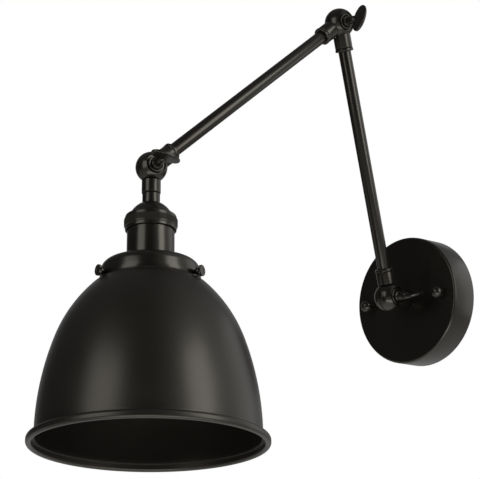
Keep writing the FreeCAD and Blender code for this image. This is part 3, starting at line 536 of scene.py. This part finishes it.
def split_washer():
    """A split ring whose two ends stand slightly apart in height."""
    inside, outside, low, high = 3.2, 4.95, 9.85, 11.0
    start, sweep, rise, steps = 6, 346, 0.3, 60
    mesh = bmesh.new()
    corners = [(inside, low), (outside, low), (outside, high), (inside, high)]
    face = mesh.faces.new([mesh.verts.new((radius * MM, 0, height * MM)) for radius, height in corners])
    moved(mesh, place(angle=start))
    climbing(mesh, [face], steps, math.radians(sweep), rise / steps)
    close_ends(mesh)
    soften(mesh, 0.12, 40)
    return mesh


def wing():
    """A pressed oval plate with round edges, which stands in the hub's end."""
    half_width, half_height, thickness, middle = 13.5, 8, 2.8, 29.3
    mesh = bmesh.new()
    bmesh.ops.create_circle(mesh, cap_ends=True, segments=72, radius=1.0)
    bmesh.ops.scale(mesh, vec=(half_width * MM, half_height * MM, 1), verts=mesh.verts)
    grown = bmesh.ops.extrude_face_region(mesh, geom=mesh.faces[:])
    top = [item for item in grown["geom"] if isinstance(item, bmesh.types.BMVert)]
    bmesh.ops.translate(mesh, vec=(0, 0, thickness * MM), verts=top)
    bmesh.ops.recalc_face_normals(mesh, faces=mesh.faces)
    rims = [edge for edge in mesh.edges if edge.calc_face_angle() > math.radians(60)]
    bmesh.ops.bevel(mesh, geom=rims, offset=1.15 * MM, segments=5, profile=0.5, affect="EDGES", material=-1)
    return moved(mesh, place(y=thickness / 2, z=middle, axis=ACROSS, angle=90))


def wing_screw():
    """A turned shank with its flange and hub, joined with the wing."""
    shank = spun([
        (0, -7.4), (2.6, -7.4), (3.0, -6.8), (3.0, 11.4), (4.5, 11.4), (4.8, 11.8), (4.8, 12.5), (4.4, 12.9),
        (3.8, 13.1), (3.8, 18.5), *bend((3.8, 19.5), (1.3, 25.2), 7, 8), (0, 25.2),
    ], 56, 0.1)
    return carved(shank, "UNION", wing())


def clamp(prefix, where, wing_turn, body):
    piece(f"{prefix}_cup", cup_washer(), where, body, f"{prefix}_cup_washer")
    piece(f"{prefix}_split_ring", split_washer(), where, body, f"{prefix}_spring_washer")
    piece(f"{prefix}_wing", wing_screw(), where @ place(angle=wing_turn), f"{prefix}_clamp_screw",
          f"{prefix}_wing_screw", limit=30)


def seam_ring(prefix, where, body):
    inside, outside, half = 10.6, 13.1, 0.38
    ring = spun([(inside, -half), (outside, -half), (outside, half), (inside, half)], 72, 0.08)
    piece(f"{prefix}_seam_ring", ring, where, body, f"{prefix}_friction_ring", "fibre")


clamp("base", stub_knuckle, 18, "swivel_stub")
clamp("elbow", lower_tip_knuckle, 149, "lower_arm")
clamp("head", upper_tip_knuckle, 125, "upper_arm")
seam_ring("base", lower_root_knuckle, "lower_arm")
seam_ring("elbow", upper_root_knuckle, "upper_arm")
seam_ring("head", head_knuckle, "lamp_head")


# --- arms ---------------------------------------------------------------------

TUBE = 6
SPIGOT = 5
TUBE_BORE = 4
SPIGOT_LENGTH = 10
LOCK_RING_WIDTH = 3


def lock_ring(low):
    high = low + LOCK_RING_WIDTH
    inside, edge, outside = 6.03, 8.1, 8.6
    return spun([
        (inside, low + 0.1), (edge, low + 0.1), (outside, low + 0.5), (outside, high - 0.5), (edge, high),
        (inside, high),
    ], 72, 0.15)


def arm(prefix, where, body):
    """A tube that ends in a spigot in each collar, with a lock ring at each end."""
    start, end = COLLAR_REACH, ARM_LENGTH - COLLAR_REACH
    tube = spun([
        (TUBE_BORE, start - SPIGOT_LENGTH), (SPIGOT, start - SPIGOT_LENGTH), (SPIGOT, start), (TUBE, start),
        (TUBE, end), (SPIGOT, end), (SPIGOT, end + SPIGOT_LENGTH), (TUBE_BORE, end + SPIGOT_LENGTH),
        (TUBE_BORE, end - 1), (SPIGOT, end - 2), (SPIGOT, start + 2), (TUBE_BORE, start + 1),
    ], 72, 0.1)
    piece(f"{prefix}_tube", tube, where, body, f"{prefix}_arm_tube")
    rings = merged(lock_ring(start), lock_ring(end - LOCK_RING_WIDTH))
    piece(f"{prefix}_lock_rings", rings, where, body, f"{prefix}_arm_lock_rings")


arm("lower", lower_arm_place, "lower_arm")
arm("upper", upper_arm_place @ FLIPPED, "upper_arm")


# --- socket head, with heights from the knuckle towards the shade's mouth -----

CAP_START = 33.65
CORE_START = 47.05
WELL_FLOOR = 51.95
CORE_LEDGE = 53.85
SHADE_SEAT = 106.95
EQUATOR = 241.114
THUMBSCREW_HEIGHT = 102.65
THUMBSCREWS = ("near_left", "rear", "near_right")
FIRST_THUMBSCREW_TURN = 85


def head(name, mesh, node, finish="satin_black", limit=34):
    piece(name, mesh, head_place, "lamp_head", node, finish, limit)


def knurled_band(radius, low, high, columns, rows, depth):
    """A band of small pyramids on a diagonal net: a grid of squares is split to
    their middles, the squares' own edges go, and each diamond left is raised."""
    mesh = bmesh.new()
    points, line = chain(mesh, [(radius, low + (high - low) * row / rows) for row in range(rows + 1)])
    turned(mesh, points + line, columns)
    bmesh.ops.recalc_face_normals(mesh, faces=mesh.faces)
    squares = [edge for edge in mesh.edges if len(edge.link_faces) == 2]
    bmesh.ops.poke(mesh, faces=mesh.faces[:])
    bmesh.ops.dissolve_edges(mesh, edges=squares, use_verts=False)
    diamonds = [face for face in mesh.faces if len(face.verts) == 4]
    bmesh.ops.poke(mesh, faces=diamonds, offset=depth * MM)
    return mesh


def socket_case():
    """The neck, the cap, the knurled ring, the shell, its ring and the holder."""
    head("neck", spun([
        (3.5, 15.5), (5, 15.5), (5, 24.5), (6.9, 24.62), (7.7, 25.3), (7.7, CAP_START), (5, CAP_START),
        (5, 38.85), (3.5, 38.85),
    ], 72, 0.12), "socket_neck")
    head("cap", spun([
        (5.03, CAP_START), *bend((8.2, CAP_START), (17.6, 42.45), 22, 14), (18.8, 44.75),
        *bend((20.2, 44.75), (22.4, 46.95), 2.2, 8), (22.4, 48.25), (21.2, 48.25),
        *bend((21.2, 46.95), (20.2, 45.95), -1, 5), (17.6, 45.95),
        *bend((16.4, 43.65), (8.2, 34.85), -22, 10), (5.03, 34.85),
    ], 128, 0.12), "socket_cap")
    ring = spun([
        (20.66, 48.27), (22.8, 48.27), (23.0, 48.65), (23.0, 55.25), (22.8, 55.85), (22.3, 56.15),
        (22.3, 58.55), (21.8, 58.65), (21.5, 58.55), (21.2, 57.55), (20.66, 57.15),
    ], 128, 0.12)
    band = knurled_band(radius=22.99, low=48.7, high=55.2, columns=84, rows=4, depth=0.4)
    head("knurled_collar", merged(ring, band), "knurled_ring", limit=20)
    head("shell", spun([
        (19.6, 46.95), (20.6, 46.95), (20.6, 82.9), (20.15, 83.5), (20.1, 89.15), (19.6, 89.15),
    ], 128, 0.12), "socket_shell")
    head("shell_ring", spun([
        (20.14, 84.8), (22.0, 84.8), (22.15, 85.15), (22.15, 88.35), (22.0, 88.7), (20.14, 88.7),
    ], 96, 0.1), "holder_ring")
    head("holder", spun([
        (20.13, 83.55), (22.4, 83.55), *bend((36.7, 87.95), (42.65, 95.35), 8.5, 14), (43.25, 99),
        *bend((43.45, 101.2), (42.55, 106.45), 9, 8), (42.2, 106.45),
        *bend((41.45, 95.35), (36.4, 89.15), -7.3, 14), (22.4, 84.75), (20.13, 84.75),
    ], 144, 0.15), "shade_holder")


def lamp_shell():
    """Rolled brass screw shell: one wave of the thread, swept down as a screw,
    cut level at both ends, and its floor ring on the core's ledge."""
    pitch, turns, steps = 3.63, 7, 48
    middle, wave_height, wall = 13.2, 0.45, 0.25
    start, cut_start, cut_end = 51.5, 54.3, 77.2
    points_in_wave = 8
    shares = [point / points_in_wave for point in range(points_in_wave + 1)]
    wave = [(middle + wave_height * math.cos(math.tau * share), start + pitch * share) for share in shares]
    mesh = bmesh.new()
    points, line = chain(mesh, wave)
    climbing(mesh, points + line, steps * turns, math.tau * turns, pitch / steps)
    bmesh.ops.remove_doubles(mesh, verts=mesh.verts, dist=1e-6)
    cut_level(mesh, cut_end, 1)
    cut_level(mesh, cut_start, -1)
    bmesh.ops.recalc_face_normals(mesh, faces=mesh.faces)
    bmesh.ops.solidify(mesh, geom=mesh.faces[:], thickness=wall * MM)
    low, high = CORE_LEDGE + 0.02, 54.28
    floor_ring = spun([(11.4, low), (13.55, low), (13.55, high), (11.4, high)], 64, 0.08)
    return merged(mesh, floor_ring)


def socket_inside():
    """The brass shell, the porcelain core that holds it and the centre contact."""
    head("screw_shell", lamp_shell(), "lamp_screw_shell", "brass")
    head("core", spun([
        (2, CORE_START), (19.4, CORE_START), (19.4, 74.85), (13.8, 74.85), (13.8, CORE_LEDGE),
        (11.35, CORE_LEDGE), (11.35, WELL_FLOOR), (2, WELL_FLOOR),
    ], 96, 0.4), "socket_core", "porcelain")
    low = WELL_FLOOR + 0.02
    head("contact", spun([
        (0, CORE_START), (1.95, CORE_START), (1.95, low), (3.9, low), *bend((4, 53.05), (0, 54.15), 7.82, 8),
    ], 48, 0.1), "centre_contact", "brass")


def thumbscrew(name, turn):
    """A shank and a round head with straight knurling on its rim. Their heights
    run out from the shade's axis."""
    columns, groove, knurled_from = 56, 0.93, 4.3
    shank = spun([
        (0, 40.4), (1.7, 40.4), (2.0, 40.9), (2.0, 45.6), (3.2, 45.7), (3.2, 48.7), (2.6, 48.9), (0, 48.9),
    ], 40, 0.1)
    knob = spun([
        (0, 48.82), (4.5, 48.82), (4.9, 49.2), (4.9, 51.0), (4.5, 51.38), (2.2, 51.38), (1.8, 51.0),
        (0, 51.0),
    ], columns, 0)
    grooves = [vertex for vertex in knob.verts if vertex.co.xy.length > knurled_from * MM
               and round(math.atan2(vertex.co.y, vertex.co.x) / math.tau * columns) % 2]
    bmesh.ops.scale(knob, vec=(groove, groove, 1), verts=grooves)
    where = head_place @ place(z=THUMBSCREW_HEIGHT, angle=turn) @ place(axis=ALONG_Y, angle=90)
    piece(f"{name}_knob", merged(shank, knob), where, f"{name}_thumbscrew", f"thumbscrew_{name}", limit=25)


socket_case()
socket_inside()
for number, name in enumerate(THUMBSCREWS):
    thumbscrew(name, FIRST_THUMBSCREW_TURN + number * 360 / len(THUMBSCREWS))


# --- shade --------------------------------------------------------------------

def dome_shade():
    """Spun sheet: a straight neck, a round shoulder, a dome of two arcs and a
    curled rim with a small gap inside it."""
    wall, neck, shoulder_start = 1, 40.3, 43.529
    shoulder, upper, lower = 8, 123.535, 247.221
    top, side, mouth = (49, EQUATOR - 132), (80.75, EQUATOR - 83.7), (95.35, EQUATOR)
    inner_top, inner_side = (48.316, top[1] + 0.73), (79.81, side[1] + 0.339)
    skin = [
        *bend((shoulder_start, SHADE_SEAT), top, shoulder, 6)[:-1],
        *bend(top, side, upper, 24)[:-1],
        *bend(side, mouth, lower, 24)[:-1],
    ]
    rim = [
        (95.4, EQUATOR), (95.7, EQUATOR - 0.2),
        *bend((98.9, EQUATOR - 0.2), (102, EQUATOR + 2.9), 3.1, 10),
        *bend((102, EQUATOR + 4.5), (99.8, EQUATOR + 7.3), 2.9, 10),
        *bend((99.4, EQUATOR + 7.35), (96.7, EQUATOR + 5), 2.8, 8),
        (96.7, EQUATOR + 1), (94.55, EQUATOR + 1.6),
    ]
    inside = [
        *bend((mouth[0] - wall, EQUATOR), inner_side, wall - lower, 24)[:-1],
        *bend(inner_side, inner_top, wall - upper, 24)[:-1],
        *bend(inner_top, (shoulder_start, SHADE_SEAT + wall), wall - shoulder, 6),
    ]
    outline = [
        (neck - wall, SHADE_SEAT - 11), (neck, SHADE_SEAT - 11), (neck, SHADE_SEAT),
        *skin, *rim, *inside, (neck - wall, SHADE_SEAT + wall),
    ]
    head("shade", spun(outline, 192, 0.12), "dome_shade", "shade_black", limit=40)


dome_shade()


# --- carried-over nodes -------------------------------------------------------

painted("zinc_steel", "mounting_bar", "swivel_nipple", "swivel_spring_washer", "swivel_lock_nut",
        "socket_neck_nut", "canopy_studs")
painted("ground_green", "ground_screw")
painted("nylon", "swivel_slip_washer")
painted("brass", "terminal_screws")
painted("lead_insulation", "lower_arm_leads", "upper_arm_leads")


# --- studio, in metres --------------------------------------------------------

VIEW_AZIMUTH = 45.14
VIEW_ELEVATION = 13.134
VIEW_ROLL = -1.483
VIEW_DISTANCE = 1.728987
VIEW_CENTRE = Vector((0, -0.150, 0))
VIEW_MOVED_RIGHT = -0.072856
VIEW_MOVED_UP = 0.041168
FOCAL_PIXELS = 1878.9
PICTURE_WIDTH = 480
SENSOR_WIDTH = 36
LAMP_MIDDLE = Vector((-0.01, -0.22, 0.05))
FLOOR_HEIGHT = -0.95
FLOOR_HALF_WIDTH = 5
MATT_SURFACE_LIGHT = 0.45


def floor():
    mesh = bmesh.new()
    bmesh.ops.create_grid(mesh, x_segments=1, y_segments=1, size=FLOOR_HALF_WIDTH)
    moved(mesh, Matrix.Translation((0, 0, FLOOR_HEIGHT)))
    item = as_object(mesh, "studio_floor")
    paper = bpy.data.materials.new("Pale paper")
    paper.use_nodes = True
    shader = next(node for node in paper.node_tree.nodes if node.type == "BSDF_PRINCIPLED")
    shader.inputs["Base Color"].default_value = tone(0.86, 0.86, 0.85)
    shader.inputs["Roughness"].default_value = 0.9
    item.data.materials.append(paper)


def side_light(tree, direction, way, start, end, low, high):
    """A level that rises from low to high as the direction turns towards a way."""
    toward = tree.nodes.new("ShaderNodeVectorMath")
    toward.operation = "DOT_PRODUCT"
    tree.links.new(direction, toward.inputs[0])
    toward.inputs[1].default_value = way
    level = tree.nodes.new("ShaderNodeMapRange")
    for label, value in (("From Min", start), ("From Max", end), ("To Min", low), ("To Max", high)):
        level.inputs[label].default_value = value
    tree.links.new(toward.outputs["Value"], level.inputs["Value"])
    return level.outputs["Result"]


def world():
    """White where the camera sees past the lamp, and a soft, darker room
    elsewhere, which reflections see brighter towards three ways."""
    room = bpy.data.worlds.new("Studio")
    bpy.context.scene.world = room
    room.use_nodes = True
    tree = room.node_tree
    back = next(node for node in tree.nodes if node.type == "BACKGROUND")
    rays = tree.nodes.new("ShaderNodeLightPath").outputs
    direction = tree.nodes.new("ShaderNodeTexCoord").outputs["Generated"]
    room_light = side_light(tree, direction, (0.75, 0.62, 0.22), 0.35, 0.95, 0.05, 0.65)
    for glow in (
        side_light(tree, direction, (-0.69, 0.69, 0.22), 0.8, 1.0, 0.0, 0.4),
        side_light(tree, direction, (-0.25, -0.1, 0.96), 0.55, 1.0, 0.0, 0.08),
    ):
        room_light = math_node(tree, "ADD", room_light, glow)
    seen = math_node(tree, "MAXIMUM", rays["Is Camera Ray"], rays["Is Transmission Ray"])
    mirrored = math_node(tree, "MULTIPLY", rays["Is Glossy Ray"], room_light)
    diffuse = math_node(tree, "MULTIPLY", rays["Is Diffuse Ray"], MATT_SURFACE_LIGHT)
    light = math_node(tree, "MAXIMUM", seen, math_node(tree, "MAXIMUM", mirrored, diffuse))
    tree.links.new(light, back.inputs["Strength"])
    back.inputs["Color"].default_value = tone(1, 1, 1)


def softbox(name, azimuth, elevation, distance, width, height, level):
    """A panel that faces the lamp; azimuth is from the camera's side, to its right."""
    turn = math.radians(VIEW_AZIMUTH + azimuth)
    rise = math.radians(elevation)
    away = Vector((math.sin(turn) * math.cos(rise), -math.cos(turn) * math.cos(rise), math.sin(rise)))
    data = bpy.data.lights.new(name, "AREA")
    data.shape = "RECTANGLE"
    data.size = width
    data.size_y = height
    data.energy = level * math.pi * width * height
    item = bpy.data.objects.new(name, data)
    item.location = LAMP_MIDDLE + away * distance
    item.rotation_mode = "QUATERNION"
    item.rotation_quaternion = away.to_track_quat("Z", "Y")
    bpy.context.scene.collection.objects.link(item)


def camera():
    """The photograph's view, from slightly below the lamp."""
    azimuth, elevation, roll = (math.radians(a) for a in (VIEW_AZIMUTH, VIEW_ELEVATION, VIEW_ROLL))
    back = Vector((math.sin(azimuth) * math.cos(elevation), -math.cos(azimuth) * math.cos(elevation),
                   -math.sin(elevation)))
    right = (-back).cross(UPWARD).normalized()
    up = right.cross(-back)
    picture_right = right * math.cos(roll) + up * math.sin(roll)
    picture_up = up * math.cos(roll) - right * math.sin(roll)
    target = VIEW_CENTRE + picture_right * VIEW_MOVED_RIGHT + picture_up * VIEW_MOVED_UP
    spot = target + back * VIEW_DISTANCE
    data = bpy.data.cameras.new("Camera")
    data.sensor_width = SENSOR_WIDTH
    data.sensor_fit = "HORIZONTAL"
    data.lens = FOCAL_PIXELS * SENSOR_WIDTH / PICTURE_WIDTH
    data.clip_start = 0.05
    data.clip_end = 50
    item = bpy.data.objects.new("Camera", data)
    item.matrix_world = Matrix((
        (picture_right.x, picture_up.x, back.x, spot.x),
        (picture_right.y, picture_up.y, back.y, spot.y),
        (picture_right.z, picture_up.z, back.z, spot.z),
        (0, 0, 0, 1),
    ))
    bpy.context.scene.collection.objects.link(item)
    bpy.context.scene.camera = item


floor()
world()
softbox("Left box", azimuth=-45, elevation=14, distance=1.7, width=0.95, height=1.3, level=2.2)
softbox("Right box", azimuth=55, elevation=16, distance=1.7, width=0.8, height=1.4, level=3.4)
softbox("Low box", azimuth=8, elevation=-50, distance=1.0, width=1.4, height=0.3, level=3.0)
softbox("Under box", azimuth=180, elevation=-82, distance=0.8, width=0.8, height=0.8, level=0.4)
softbox("Side panel", azimuth=118, elevation=10, distance=1.9, width=1.2, height=1.6, level=0.45)
camera()
bpy.context.scene.view_settings.view_transform = "Standard"
